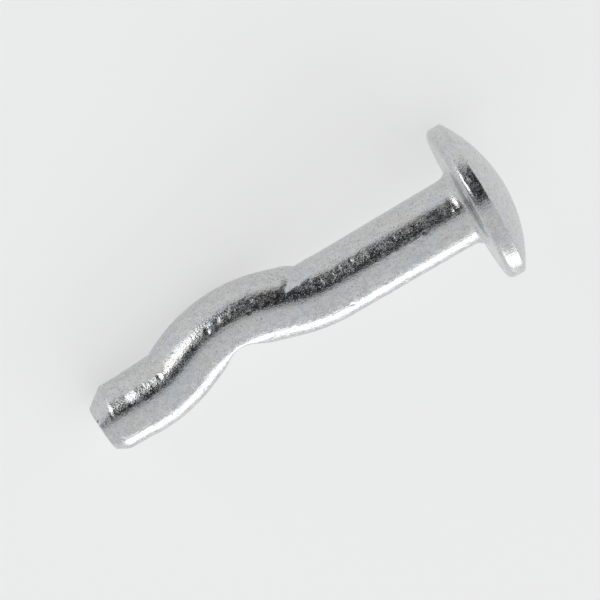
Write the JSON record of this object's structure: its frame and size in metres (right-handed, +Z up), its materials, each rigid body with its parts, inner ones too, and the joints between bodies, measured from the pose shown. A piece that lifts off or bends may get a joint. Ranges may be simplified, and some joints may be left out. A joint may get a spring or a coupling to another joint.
{
  "type": "pre-bent hammer drive anchor",
  "caption": "One-piece zinc-plated steel hammer drive anchor: low domed head, straight shank, one pressed hump near a chamfered tip.",
  "frame": {"origin": "centre of the anchor's footprint box on the surface that it lies on", "axes": "+Z up; +X along the anchor from its head towards its tip; the hump leans down towards -Y"},
  "size_m": [0.0418, 0.0152, 0.0151],
  "materials": {
    "zinc_plated_steel": "bright zinc plating, lightly scuffed"
  },
  "bodies": {
    "root": {"drive_anchor": "zinc_plated_steel"}
  },
  "joints": []
}
